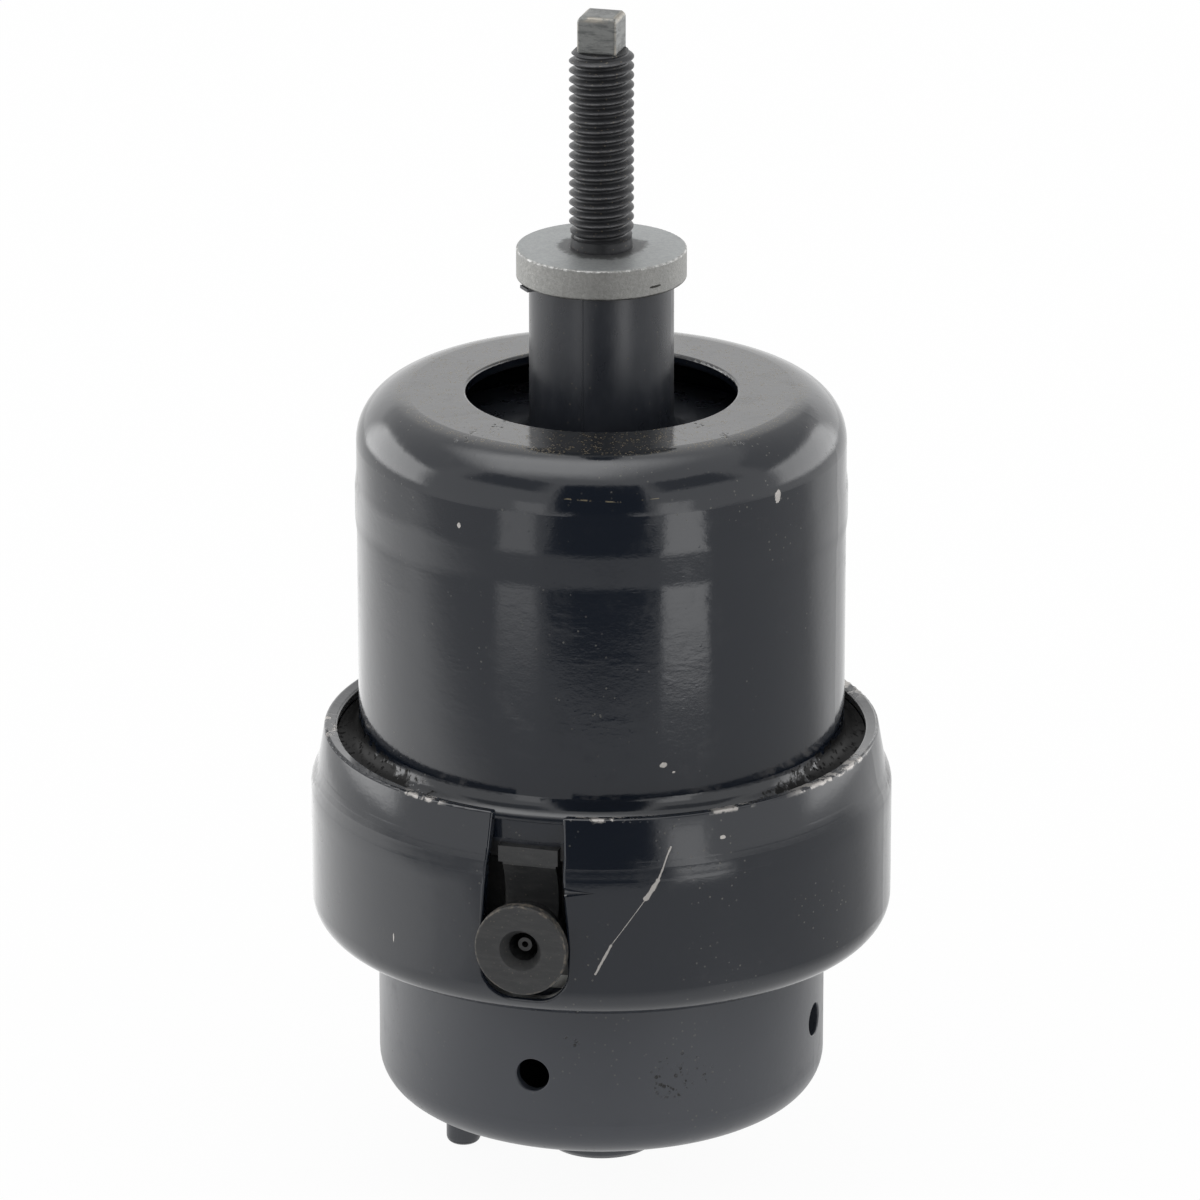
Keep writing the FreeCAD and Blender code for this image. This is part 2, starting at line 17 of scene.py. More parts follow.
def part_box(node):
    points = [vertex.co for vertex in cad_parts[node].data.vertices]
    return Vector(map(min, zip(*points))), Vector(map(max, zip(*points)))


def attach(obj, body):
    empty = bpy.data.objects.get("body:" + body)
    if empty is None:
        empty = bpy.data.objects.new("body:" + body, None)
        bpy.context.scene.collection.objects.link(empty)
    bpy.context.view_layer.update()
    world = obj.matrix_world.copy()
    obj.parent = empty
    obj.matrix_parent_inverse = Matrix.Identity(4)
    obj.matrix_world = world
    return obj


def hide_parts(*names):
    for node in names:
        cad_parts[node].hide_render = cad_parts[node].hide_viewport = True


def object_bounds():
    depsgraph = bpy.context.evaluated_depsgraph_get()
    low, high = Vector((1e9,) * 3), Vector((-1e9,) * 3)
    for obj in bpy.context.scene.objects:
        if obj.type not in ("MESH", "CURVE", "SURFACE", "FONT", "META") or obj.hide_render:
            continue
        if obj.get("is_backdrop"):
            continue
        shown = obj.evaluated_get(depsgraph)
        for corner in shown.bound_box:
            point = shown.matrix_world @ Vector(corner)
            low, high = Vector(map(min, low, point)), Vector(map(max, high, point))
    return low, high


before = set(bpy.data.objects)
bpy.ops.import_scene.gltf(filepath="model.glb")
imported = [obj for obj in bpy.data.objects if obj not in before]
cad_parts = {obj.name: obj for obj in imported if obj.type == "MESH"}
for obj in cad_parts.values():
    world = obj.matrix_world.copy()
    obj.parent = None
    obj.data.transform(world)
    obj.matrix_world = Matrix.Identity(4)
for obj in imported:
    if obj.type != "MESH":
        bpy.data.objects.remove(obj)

MM = 0.001                        # a millimetre, in metres
PORT_TURN = math.radians(2.5)     # bearing that the port and the stud's square end share
Point = tuple[float, float]       # (radius, height) or (bearing, height)
Spot = tuple[float, float, float]  # (bearing, half width, half height)
Colour = tuple[float, float, float]
Piece = bpy.types.Object
Material = bpy.types.Material
log = logging.getLogger("engine_mount")


class Join(Enum):
    """What a boolean makes of two solids."""

    UNION = "UNION"
    DIFFERENCE = "DIFFERENCE"
    INTERSECT = "INTERSECT"


# ------------------------------ operators
class Bench:
    """Modelling by Blender's own operators, one mesh object at a time.

    Points closer than WELD become one, or than CUT_WELD along a flat cut, or than
    TURN_WELD between the turns of a thread, all in metres.
    """

    WELD = 1e-6
    CUT_WELD = 1e-7
    TURN_WELD = 2e-6

    @staticmethod
    def clear() -> None:
        """Leave edit mode and select nothing."""
        if bpy.context.object and bpy.context.object.mode != "OBJECT":
            bpy.ops.object.mode_set(mode="OBJECT")
        bpy.ops.object.select_all(action="DESELECT")

    @classmethod
    def take(cls, piece: Piece) -> None:
        """Select one object only and make it active."""
        cls.clear()
        piece.select_set(True)
        bpy.context.view_layer.objects.active = piece

    @classmethod
    def settle(cls, piece: Piece) -> Piece:
        """Move an object's place, turn and scale into its mesh."""
        cls.take(piece)
        bpy.ops.object.transform_apply(location=True, rotation=True, scale=True)
        return piece

    @classmethod
    @contextmanager
    def editing(cls, piece: Piece) -> Iterator[None]:
        """Edit mode on one object with its whole mesh selected, and out again."""
        cls.take(piece)
        bpy.ops.object.mode_set(mode="EDIT")
        bpy.ops.mesh.select_mode(type="VERT")
        bpy.ops.mesh.select_all(action="SELECT")
        yield
        bpy.ops.object.mode_set(mode="OBJECT")

    @classmethod
    def modify(cls, piece: Piece, kind: str, **settings: object) -> None:
        """Apply a modifier of a kind, with its settings, to an object."""
        modifier = piece.modifiers.new(kind, kind)
        for name, setting in settings.items():
            setattr(modifier, name, setting)
        cls.take(piece)
        bpy.ops.object.modifier_apply(modifier=modifier.name)

    @classmethod
    def block(cls, name: str, size: Sequence[float], place: Sequence[float],
              turn: float = 0.0) -> Piece:
        """Box about a place, in millimetres.

        Args:
            name: Name of the new object.
            size: Its three sides.
            place: Its middle.
            turn: Its turn about its own upright axis, in radians.

        Returns:
            The box, with its place and size in its mesh.
        """
        cls.clear()
        bpy.ops.mesh.primitive_cube_add(size=1)
        piece = bpy.context.object
        piece.name = name
        piece.scale = tuple(side * MM for side in size)
        piece.rotation_euler = (0, 0, turn)
        piece.location = tuple(part * MM for part in place)
        return cls.settle(piece)

    @classmethod
    def chain(cls, name: str, points: Sequence[Point]) -> Piece:
        """Draw an open profile by extruding one vertex from point to point.

        Args:
            name: Name of the new object.
            points: (radius, height) pairs in millimetres, in the XZ plane.

        Returns:
            The object, with one edge between each pair of neighbouring points.
        """
        cls.clear()
        bpy.ops.mesh.primitive_plane_add(size=MM)
        piece = bpy.context.object
        piece.name = name
        with cls.editing(piece):
            bpy.ops.mesh.merge(type="CENTER")
            radius, height = points[0]
            bpy.ops.transform.translate(value=(radius * MM, 0, height * MM))
            for (r0, z0), (r1, z1) in zip(points, points[1:]):
                bpy.ops.mesh.extrude_region_move(
                    TRANSFORM_OT_translate={"value": ((r1 - r0) * MM, 0, (z1 - z0) * MM)})
        return piece

    @classmethod
    def lathe(cls, name: str, points: Sequence[Point], steps: int = 96) -> Piece:
        """Spin a profile that starts and ends on the axis into a closed solid.

        Args:
            name: Name of the new object.
            points: (radius, height) pairs in millimetres, from one pole to the other.
            steps: Faces round the axis.

        Returns:
            The closed object, its normals pointing outwards.
        """
        piece = cls.chain(name, points)
        with cls.editing(piece):
            bpy.ops.mesh.spin(steps=steps, angle=2 * math.pi, center=(0, 0, 0), axis=(0, 0, 1))
            bpy.ops.mesh.select_all(action="SELECT")
            bpy.ops.mesh.remove_doubles(threshold=cls.WELD)
            bpy.ops.mesh.normals_make_consistent(inside=False)
        return piece

    @classmethod
    def screw(cls, name: str, points: Sequence[Point], pitch: float, turns: int,
              steps: int) -> Piece:
        """Wind a one-pitch profile into a right-handed thread with open ends.

        Args:
            name: Name of the new object.
            points: (radius, height) pairs in millimetres, one pitch from end to end.
            pitch: Rise of a turn in millimetres.
            turns: Number of turns.
            steps: Faces in a turn.

        Returns:
            The thread's skin.
        """
        piece = cls.chain(name, points)
        cls.modify(piece, "SCREW", axis="Z", angle=2 * math.pi, screw_offset=pitch * MM,
                   iterations=turns, steps=steps, render_steps=steps,
                   use_merge_vertices=True, merge_threshold=cls.TURN_WELD)
        return piece

    @classmethod
    def trim(cls, piece: Piece, height: float, keep_above: bool) -> None:
        """Cut an object flat at a height in millimetres and close the cut.

        Args:
            piece: Object to cut.
            height: Height of the cut.
            keep_above: Whether the part above the cut stays.
        """
        with cls.editing(piece):
            bpy.ops.mesh.bisect(plane_co=(0, 0, height * MM), plane_no=(0, 0, 1),
                                use_fill=True, clear_inner=keep_above,
                                clear_outer=not keep_above, threshold=cls.WELD)
            bpy.ops.mesh.select_all(action="SELECT")
            bpy.ops.mesh.remove_doubles(threshold=cls.CUT_WELD)
            bpy.ops.mesh.normals_make_consistent(inside=False)

    @classmethod
    def combine(cls, piece: Piece, other: Piece, how: Join) -> None:
        """Join, cut or intersect an object with another, which is used up."""
        cls.modify(piece, "BOOLEAN", operation=how.value, solver="EXACT", object=other)
        bpy.data.objects.remove(other, do_unlink=True)

    @classmethod
    def soften(cls, piece: Piece, width: float, segments: int = 2, angle: float = 35.0) -> None:
        """Round every edge sharper than an angle.

        Args:
            piece: Object to round.
            width: Width of the rounding in millimetres.
            segments: Faces across the rounding.
            angle: Least angle between faces, in degrees.
        """
        cls.modify(piece, "BEVEL", width=width * MM, segments=segments,
                   limit_method="ANGLE", angle_limit=math.radians(angle))

    @classmethod
    def smooth(cls, piece: Piece, angle: float) -> None:
        """Shade smooth, with edges sharper than the angle left sharp."""
        cls.take(piece)
        bpy.ops.object.shade_smooth_by_angle(angle=math.radians(angle))
        cls.modify(piece, "WEIGHTED_NORMAL", keep_sharp=True)

    @classmethod
    def faces_where(cls, piece: Piece,
                    test: Callable[[Vector, Vector], bool]) -> None:
        """Select the faces whose centre and normal pass a test, and enter edit mode."""
        cls.take(piece)
        bpy.ops.object.mode_set(mode="EDIT")
        bpy.ops.mesh.select_mode(type="FACE")
        bpy.ops.mesh.select_all(action="DESELECT")
        bpy.ops.object.mode_set(mode="OBJECT")
        for face in piece.data.polygons:
            face.select = test(face.center, face.normal)
        bpy.ops.object.mode_set(mode="EDIT")


# ------------------------------ shader maths
Value = "Wire | float | Sequence[float]"


class Wire:
    """A shader socket that takes part in Python arithmetic."""

    def __init__(self, recipe: "Recipe", socket: bpy.types.NodeSocket) -> None:
        """Keep the socket and the recipe that it belongs to."""
        self.recipe = recipe
        self.socket = socket

    def _maths(self, how: str, *values: Value) -> "Wire":
        """One Math node on some values."""
        return self.recipe.node("ShaderNodeMath", {"operation": how}, dict(enumerate(values)))

    def __add__(self, other: Value) -> "Wire":
        """Sum."""
        return self._maths("ADD", self, other)

    def __radd__(self, other: Value) -> "Wire":
        """Sum, with the number first."""
        return self._maths("ADD", other, self)

    def __sub__(self, other: Value) -> "Wire":
        """Difference."""
        return self._maths("SUBTRACT", self, other)

    def __rsub__(self, other: Value) -> "Wire":
        """Difference, with the number first."""
        return self._maths("SUBTRACT", other, self)

    def __mul__(self, other: Value) -> "Wire":
        """Product."""
        return self._maths("MULTIPLY", self, other)

    def __rmul__(self, other: Value) -> "Wire":
        """Product, with the number first."""
        return self._maths("MULTIPLY", other, self)

    def __truediv__(self, other: Value) -> "Wire":
        """Quotient."""
        return self._maths("DIVIDE", self, other)

    def __rtruediv__(self, other: Value) -> "Wire":
        """Quotient, with the number first."""
        return self._maths("DIVIDE", other, self)

    def __neg__(self) -> "Wire":
        """Negative."""
        return self._maths("MULTIPLY", self, -1.0)

    def __abs__(self) -> "Wire":
        """Absolute value."""
        return self._maths("ABSOLUTE", self)

    def reach(self, other: "Wire") -> "Wire":
        """Length of the slope over two sides that meet at a right angle."""
        return self._maths("SQRT", self * self + other * other)

    def over(self, other: Value) -> "Wire":
        """Larger of two values."""
        return self._maths("MAXIMUM", self, other)

    def under(self, other: Value) -> "Wire":
        """Smaller of two values."""
        return self._maths("MINIMUM", self, other)

    def bearing(self, other: Value) -> "Wire":
        """Angle whose tangent is this over the other, in radians."""
        return self._maths("ARCTAN2", self, other)

    def rise(self, low: float, high: float) -> "Wire":
        """Smooth step from 0 at low to 1 at high; high may be the smaller."""
        flip = high < low
        first, last = (high, low) if flip else (low, high)
        step = self.recipe.node(
            "ShaderNodeMapRange", {"interpolation_type": "SMOOTHSTEP"},
            {"Value": self, "From Min": first, "From Max": last}, "Result")
        return 1.0 - step if flip else step

    def bend(self, corner: float, reach: Point, slope: float) -> "Wire":
        """Level before a corner and rising at the slope past it, with an arc over its reach."""
        low, high = corner + reach[0], corner + reach[1]
        first, last = (self - low).over(0.0), (self - high).over(0.0)
        return (first * first - last * last) * (slope / (2 * (high - low)))


class Recipe:
    """Node tree of one material, ending in a Principled BSDF."""

    def __init__(self, name: str) -> None:
        """Start a material, which has its shader and its output already."""
        self.material = bpy.data.materials.new(name)
        self.material.use_nodes = True
        self.tree = self.material.node_tree
        self.shader = self.tree.nodes["Principled BSDF"]
        self.output = self.tree.nodes["Material Output"]
        self.place = self.node("ShaderNodeTexCoord", {}, {}, "Object")
        self.mm = self.node("ShaderNodeVectorMath", {"operation": "SCALE"},
                            {0: self.place, "Scale": 1.0 / MM})
        self.x, self.y, self.z = (self.part(self.mm, axis) for axis in range(3))
        self.radius = self.x.reach(self.y)
        self.angle = self.x.bearing(-self.y) * math.degrees(1.0)

    def put(self, socket: bpy.types.NodeSocket, value: Value) -> None:
        """Set a socket to a number or colour, or link a wire into it."""
        if isinstance(value, Wire):
            self.tree.links.new(value.socket, socket)
        elif isinstance(value, (tuple, list)) and len(value) == 3 and socket.type == "RGBA":
            socket.default_value = (*value, 1.0)
        else:
            socket.default_value = value

    def node(self, kind: str, settings: dict[str, object], values: dict[object, Value],
             output: int | str = 0) -> Wire:
        """Add any node.

        Args:
            kind: The node's type.
            settings: Its own settings, set first.
            values: Values or wires by the name or number of their socket.
            output: Name or number of the output that is returned.

        Returns:
            The wire at that output.
        """
        made = self.tree.nodes.new(kind)
        for name, setting in settings.items():
            setattr(made, name, setting)
        for socket, value in values.items():
            self.put(made.inputs[socket], value)
        return Wire(self, made.outputs[output])

    def part(self, vector: Wire, axis: int) -> Wire:
        """One part of a vector: 0, 1 or 2 for X, Y or Z."""
        return self.node("ShaderNodeSeparateXYZ", {}, {0: vector}, axis)

    def port_axes(self) -> tuple[Wire, Wire]:
        """Places across and behind the port's bearing, in millimetres."""
        turned = self.node("ShaderNodeVectorRotate", {"rotation_type": "Z_AXIS"},
                           {"Vector": self.mm, "Angle": -PORT_TURN})
        return self.part(turned, 0), self.part(turned, 1)

    def noise(self, size: float, detail: float = 3.0, rough: float = 0.5,
              stretch: tuple[float, float, float] = (1, 1, 1)) -> Wire:
        """Noise about 0.5 whose largest features are about a size in millimetres."""
        place = self.mm
        if stretch != (1, 1, 1):
            place = self.node("ShaderNodeVectorMath", {"operation": "DIVIDE"},
                              {0: self.mm, 1: stretch})
        return self.node("ShaderNodeTexNoise", {},
                         {"Vector": place, "Scale": 1.0 / size, "Detail": detail,
                          "Roughness": rough}, "Fac")

    def specks(self, size: float) -> Wire:
        """Distance to the nearest of scattered points, about 0 to 1 over a size."""
        return self.node("ShaderNodeTexVoronoi", {"feature": "F1"},
                         {"Vector": self.mm, "Scale": 1.0 / size}, "Distance")

    def mix(self, share: Value, first: Value, second: Value) -> Wire:
        """Blend of two colours."""
        return self.node("ShaderNodeMix", {"data_type": "RGBA"},
                         {0: share, 6: first, 7: second}, 2)

    def layers(self, ground: Value, *coats: tuple[Wire, Colour]) -> Wire:
        """Colour of a ground under coats, each of which covers a share of what is below."""
        for share, colour in coats:
            ground = self.mix(share, ground, colour)
        return ground

    def bump(self, height: Wire) -> Wire:
        """Normal of a surface raised by a height in millimetres."""
        return self.node("ShaderNodeBump", {}, {"Strength": 1.0, "Distance": MM,
                                                "Height": height}, "Normal")

    def cover(self, share: Wire, colour: Colour) -> None:
        """Cover a share of the surface with a matt colour that has no shine."""
        matt = self.node("ShaderNodeBsdfDiffuse", {}, {"Color": colour}, "BSDF")
        both = self.node("ShaderNodeMixShader", {},
                         {0: share, 1: Wire(self, self.shader.outputs["BSDF"]), 2: matt})
        self.put(self.output.inputs["Surface"], both)

    def finish(self, **sockets: Value) -> Material:
        """Set the shader's sockets, whose names have _ for a space, and end the material."""
        for name, value in sockets.items():
            self.put(self.shader.inputs[name.replace("_", " ")], value)
        return self.material


# ------------------------------ wear marks
class Mark:
    """Mark on a round wall: RAG is how far noise moves its edge, EDGE where it fades."""

    RAG = 1.6
    EDGE = (1.05, 0.85)

    def fade(self, distance: Wire, ragged: Wire) -> Wire:
        """1 on the mark and 0 off it, from a distance in half sizes and a noise about 0.5."""
        return (distance + ragged * self.RAG - self.RAG / 2).rise(*self.EDGE)

    def mask(self, mix: Recipe, radius: float, ragged: Wire) -> Wire:
        """Share that the mark takes of a wall of a radius; each kind has its own."""
        raise NotImplementedError


@dataclass(frozen=True)
class Chip(Mark):
    """Round spot: bearing in degrees from -Y towards +X, height and half sizes."""

    bearing: float
    height: float
    half_width: float
    half_height: float

    def mask(self, mix: Recipe, radius: float, ragged: Wire) -> Wire:
        """1 on the spot, with a ragged edge."""
        across = (mix.angle - self.bearing) * (math.radians(radius) / self.half_width)
        along = (mix.z - self.height) / self.half_height
        return self.fade(across.reach(along), ragged)


@dataclass(frozen=True)
class Scratch(Mark):
    """Straight stroke between two (bearing, height) places, its half width in millimetres."""

    RAG = 1.8
    EDGE = (1.0, 0.7)
    start: Point
    end: Point
    half_width: float

    def mask(self, mix: Recipe, radius: float, ragged: Wire) -> Wire:
        """1 on the stroke, thinner and broken where the noise is high."""
        scale = math.radians(radius)
        run = Vector(((self.end[0] - self.start[0]) * scale, self.end[1] - self.start[1]))
        across = (mix.angle - self.start[0]) * scale
        along = mix.z - self.start[1]
        share = (across * run.x + along * run.y) / run.length_squared
        held = share.over(0.0).under(1.0)
        distance = (across - held * run.x).reach(along - held * run.y)
        return self.fade(distance / self.half_width, ragged)


def spots(height: float, places: Iterable[Spot]) -> tuple[Chip, ...]:
    """Spots at one height, from bearings, half widths and half heights."""
    return tuple(Chip(bearing, height, wide, tall) for bearing, wide, tall in places)


# ------------------------------ finishes
@dataclass(frozen=True)
class Enamel:
    """Dipped black enamel over sheet steel, glossy to satin, with its wear, and with painted
    shade over any crevice spots listed.

    The shares and depths at the end are those of the relief, in millimetres.
    """

    name: str
    radius: float
    colour: Colour = (0.0068, 0.0094, 0.0150)
    roughness: float = 0.10
    ior: float = 1.6
    chips: tuple[Chip, ...] = ()
    scratches: tuple[Scratch, ...] = ()
    pits: tuple[Chip, ...] = ()
    # crevice spots get painted shade: a matt near-black cover standing in for the shade of a
    # crevice
    crevice_shade: tuple[Chip, ...] = ()
    soils: tuple[Scratch, ...] = ()
    rim_height: float = 0.0
    rim_wear: tuple[Point, ...] = ()
    rim_rag: float = 0.8
    rim_fade: Point = (-0.25, 0.15)
    dusty_above: float = 1e6
    dust_colour: Colour = (0.12, 0.115, 0.10)
    haze_colour: Colour = (0.22, 0.20, 0.14)
    grit_colour: Colour = (0.16, 0.125, 0.07)
    soil_colour: Colour = (0.20, 0.17, 0.11)
    pit_colour: Colour = (0.006, 0.006, 0.006)
    # near-black colours of the painted crevice shade: its colour layer and its matt cover
    crevice_shade_colour: Colour = (0.003, 0.003, 0.003)
    crevice_matt_shade_colour: Colour = (0.004, 0.004, 0.004)
    bare_colour: Colour = (0.46, 0.44, 0.42)
    relief: Callable[[Recipe], Wire] | None = None
    peel: float = 0.009
    wave: float = 0.035
    run_height: float = 0.010
    pimple_height: float = 0.006
    pit_depth: float = 0.12
    chip_depth: float = 0.05

    def marked(self, mix: Recipe, marks: Iterable[Mark], ragged: Wire) -> Wire:
        """1 on any of some marks."""
        found = ragged * 0.0
        for mark in marks:
            found = found.over(mark.mask(mix, self.radius, ragged))
        return found

    def worn_rim(self, mix: Recipe, ragged: Wire) -> Wire:
        """1 where the rim has lost its enamel, within a spread of each worn bearing."""
        low, high = (self.rim_height + reach for reach in self.rim_fade)
        near = ragged * 0.0
        for bearing, spread in self.rim_wear:
            near = near.over(abs(mix.angle - bearing).rise(spread, spread * 0.5))
        edge = (mix.z + ragged * self.rim_rag).rise(low, high)
        return edge * near * mix.noise(2.6, 4.0, 0.65).rise(0.47, 0.55)

    def height(self, mix: Recipe, pits: Wire, bare: Wire) -> Wire:
        """Relief of the enamel: its skin, waves, runs, pimples, pits and chips."""
        skin = mix.noise(1.1, 2.0) + mix.noise(0.42, 3.0, 0.6, (1.5, 1.5, 0.8)) * 0.7
        runs = mix.noise(7.0, 3.0, 0.6, (1.6, 1.6, 0.5)).rise(0.50, 0.80)
        pimples = mix.specks(2.4).rise(0.10, 0.02)
        height = (skin * self.peel + mix.noise(9.0, 2.0) * self.wave + runs * self.run_height
                  + pimples * self.pimple_height - pits * self.pit_depth
                  - bare * self.chip_depth)
        return height + self.relief(mix) if self.relief else height

    def build(self) -> Material:
        """Make the enamel's material."""
        mix = Recipe(self.name)
        ragged = mix.noise(1.6, 4.0, 0.7)
        bare = self.marked(mix, self.chips + self.scratches, ragged)
        if self.rim_wear:
            bare = bare.over(self.worn_rim(mix, ragged))
        pits = self.marked(mix, self.pits, ragged) * mix.specks(0.9).rise(0.42, 0.30) * (
            ragged.rise(0.45, 0.6))
        dust = mix.specks(1.3).rise(0.16, 0.08) * mix.noise(14.0).rise(0.5, 0.62)
        top = mix.z.rise(self.dusty_above - 0.5, self.dusty_above)
        grit = top * mix.specks(0.42).rise(0.42, 0.22) * ragged.rise(0.44, 0.56)
        soiled = self.marked(mix, self.soils, ragged) * ragged.rise(0.45, 0.55)
        # painted shade: a matt near-black cover over the crevice spots, also darkening the colour
        # and roughening the shine below
        crevice_shaded = self.marked(mix, self.crevice_shade, ragged)
        if self.crevice_shade:
            mix.cover(crevice_shaded * 0.8, self.crevice_matt_shade_colour)
        colour = mix.layers(
            self.colour, (dust * 0.5, self.dust_colour), (top * 0.05, self.haze_colour),
            (grit * 0.75, self.grit_colour), (soiled * 0.6, self.soil_colour),
            (pits, self.pit_colour), (crevice_shaded, self.crevice_shade_colour), (bare, self.bare_colour))
        rough = self.roughness + mix.noise(5.0, 4.0, 0.65).rise(0.5, 0.75) * 0.10 + grit * 0.3
        return mix.finish(
            Base_Color=colour, IOR=self.ior, Metallic=bare * 0.75,
            Roughness=rough + dust * 0.3 + bare * 0.35 + pits * 0.4 + crevice_shaded * 0.22,
            Normal=mix.bump(self.height(mix, pits, bare)))


@dataclass(frozen=True)
class CastFace:
    """Bare grey cast metal: turned, granular, with a burr and oil stains on the flange."""

    name: str
    flange_radius: float
    flange_top: float
    colour: Colour = (0.33, 0.335, 0.325)
    grain_colour: Colour = (0.47, 0.475, 0.46)
    turned_colour: Colour = (0.27, 0.285, 0.295)
    side_colour: Colour = (0.20, 0.195, 0.185)
    patch_colour: Colour = (0.24, 0.245, 0.24)
    oil_colour: Colour = (0.035, 0.035, 0.036)
    grime_colour: Colour = (0.045, 0.043, 0.04)
    burr_colour: Colour = (0.62, 0.62, 0.61)
    oil_edge: Point = (7.4, 5.9)
    grime_drops: Point = (4.3, 4.8)
    arc_drop: float = 3.3

    def build(self) -> Material:
        """Make the casting's material."""
        mix = Recipe(self.name)
        top, radius = self.flange_top, self.flange_radius
        grain = mix.noise(0.55, 4.0, 0.75)
        patch = mix.noise(3.5, 4.0, 0.6)
        ragged = mix.noise(1.1, 4.0, 0.7)
        side = mix.radius.rise(radius - 0.35, radius - 0.05)
        face = 1.0 - side
        rim = (mix.z + (ragged - 0.5) * 0.7).rise(top - 0.42, top - 0.12)
        burr = side * rim * ragged.rise(0.44, 0.58)
        stain = face * (mix.radius + (patch - 0.5) * 4.5 + (ragged - 0.5) * 1.6).rise(
            *self.oil_edge)
        lower = (mix.z + (patch - 0.5)).rise(*(top - drop for drop in self.grime_drops))
        arc = Chip(57.5, top - self.arc_drop, 1.3, 0.2).mask(mix, radius, ragged)
        colour = mix.layers(
            self.colour, (grain.rise(0.35, 0.65), self.grain_colour),
            (face * 0.6, self.turned_colour), (side * 0.55, self.side_colour),
            (patch.rise(0.45, 0.75) * 0.35, self.patch_colour), (stain * 0.75, self.oil_colour),
            (side * arc.over(lower * 0.6), self.grime_colour), (burr * 0.8, self.burr_colour))
        height = grain * (0.04 + side * 0.07) + patch * 0.03 + burr * 0.05
        return mix.finish(Base_Color=colour, Metallic=0.85, Normal=mix.bump(height),
                          Roughness=0.46 - burr * 0.15 + grain * 0.1)


@dataclass(frozen=True)
class StudSteel:
    """Black phosphated stud: thread with worn crests, and a rough square end."""

    name: str
    crest_radius: float
    thread_top: float
    half_square: float
    top: float
    colour: Colour = (0.017, 0.018, 0.021)
    crest_colour: Colour = (0.10, 0.10, 0.105)
    square_colour: Colour = (0.20, 0.205, 0.20)
    streak_colour: Colour = (0.075, 0.08, 0.08)
    edge_colour: Colour = (0.36, 0.33, 0.28)
    dirt_colour: Colour = (0.22, 0.18, 0.12)
    ior: float = 1.7

    def build(self) -> Material:
        """Make the stud's material."""
        mix = Recipe(self.name)
        grain = mix.noise(0.5, 4.0, 0.7)
        patch = mix.noise(2.2, 3.0, 0.6)
        streak = mix.noise(1.5, 4.0, 0.7, (2.2, 2.2, 0.45))
        square = mix.z.rise(self.thread_top, self.thread_top + 0.25)
        thread = 1.0 - square
        crest = mix.radius.rise(self.crest_radius - 0.28, self.crest_radius - 0.04)
        worn = crest * grain.rise(0.3, 0.6) * thread
        across, behind = (abs(place) for place in mix.port_axes())
        corner = across.under(behind).rise(self.half_square - 0.45, self.half_square - 0.15)
        rim = mix.z.rise(self.top - 1.0, self.top - 0.5) * across.over(behind).rise(
            self.half_square - 0.9, self.half_square - 0.4)
        edge = square * corner.over(rim) * patch.rise(0.38, 0.6)
        dirt = mix.specks(0.8).rise(0.2, 0.08) * thread
        colour = mix.layers(
            self.colour, (worn * 0.6, self.crest_colour), (square, self.square_colour),
            (square * streak.rise(0.42, 0.66) * 0.7, self.streak_colour),
            (edge * 0.7, self.edge_colour), (dirt * 0.5, self.dirt_colour))
        height = grain * (0.02 + square * 0.035) + streak * square * 0.10
        return mix.finish(Base_Color=colour, Metallic=0.35 + square * 0.45, IOR=self.ior,
                          Roughness=0.36 + grain * 0.2 - worn * 0.1,
                          Normal=mix.bump(height))


@dataclass(frozen=True)
class Rubber:
    """Satin black rubber with flow marks, bloom and fine dust."""

    name: str
    colour: Colour = (0.017, 0.0195, 0.0255)
    bloom_colour: Colour = (0.029, 0.033, 0.041)
    dust_colour: Colour = (0.12, 0.105, 0.08)
    roughness: float = 0.27
    ior: float = 1.55

    def build(self) -> Material:
        """Make the rubber's material."""
        mix = Recipe(self.name)
        fine = mix.noise(0.35, 2.0, 0.6)
        flow = mix.noise(5.0, 4.0, 0.6, (1, 1, 2.2))
        dust = mix.specks(1.7).rise(0.12, 0.05)
        colour = mix.layers(self.colour, (flow.rise(0.4, 0.75) * 0.5, self.bloom_colour),
                            (dust * 0.4, self.dust_colour))
        return mix.finish(Base_Color=colour, IOR=self.ior,
                          Roughness=self.roughness + flow.rise(0.35, 0.8) * 0.12 + dust * 0.3,
                          Normal=mix.bump(fine * 0.008 + flow * 0.05))


@dataclass(frozen=True)
class Plastic:
    """Glass-filled dark plastic, matte and dusty, its rims scuffed brown."""

    name: str
    disc_reach: float
    port_height: float
    disc_radius: float
    colour: Colour = (0.018, 0.0187, 0.0197)
    streak_colour: Colour = (0.042, 0.042, 0.041)
    dust_colour: Colour = (0.16, 0.145, 0.115)
    worn_colour: Colour = (0.13, 0.108, 0.082)
    ior: float = 1.55

    def build(self) -> Material:
        """Make the plastic's material."""
        mix = Recipe(self.name)
        across, behind = mix.port_axes()
        ring = across.reach(mix.z - self.port_height)
        ragged = mix.noise(0.9, 4.0, 0.7)
        on_disc = (-behind).rise(self.disc_reach - 2.2, self.disc_reach - 1.9)
        rim = on_disc * ring.rise(self.disc_radius - 0.4, self.disc_radius - 0.12)
        worn = rim * ragged.rise(0.42, 0.62)
        fine = mix.noise(0.28, 2.0, 0.6)
        streak = mix.noise(1.4, 4.0, 0.65, (2.5, 2.5, 0.6))
        dust = mix.specks(0.7).rise(0.22, 0.1) * ragged.rise(0.42, 0.6)
        colour = mix.layers(self.colour, (streak.rise(0.4, 0.7) * 0.4, self.streak_colour),
                            (dust * 0.35, self.dust_colour), (worn * 0.7, self.worn_colour))
        return mix.finish(Base_Color=colour, IOR=self.ior,
                          Roughness=0.22 + on_disc * 0.26 + fine * 0.2 + dust * 0.15,
                          Normal=mix.bump(fine * 0.02 + streak * 0.02 - worn * 0.03))


class Plating(Enum):
    """Finish of a bare steel part inside the mount: colour and roughness."""

    ZINC = ((0.55, 0.55, 0.53), 0.34)
    SPRING = ((0.26, 0.26, 0.27), 0.28)


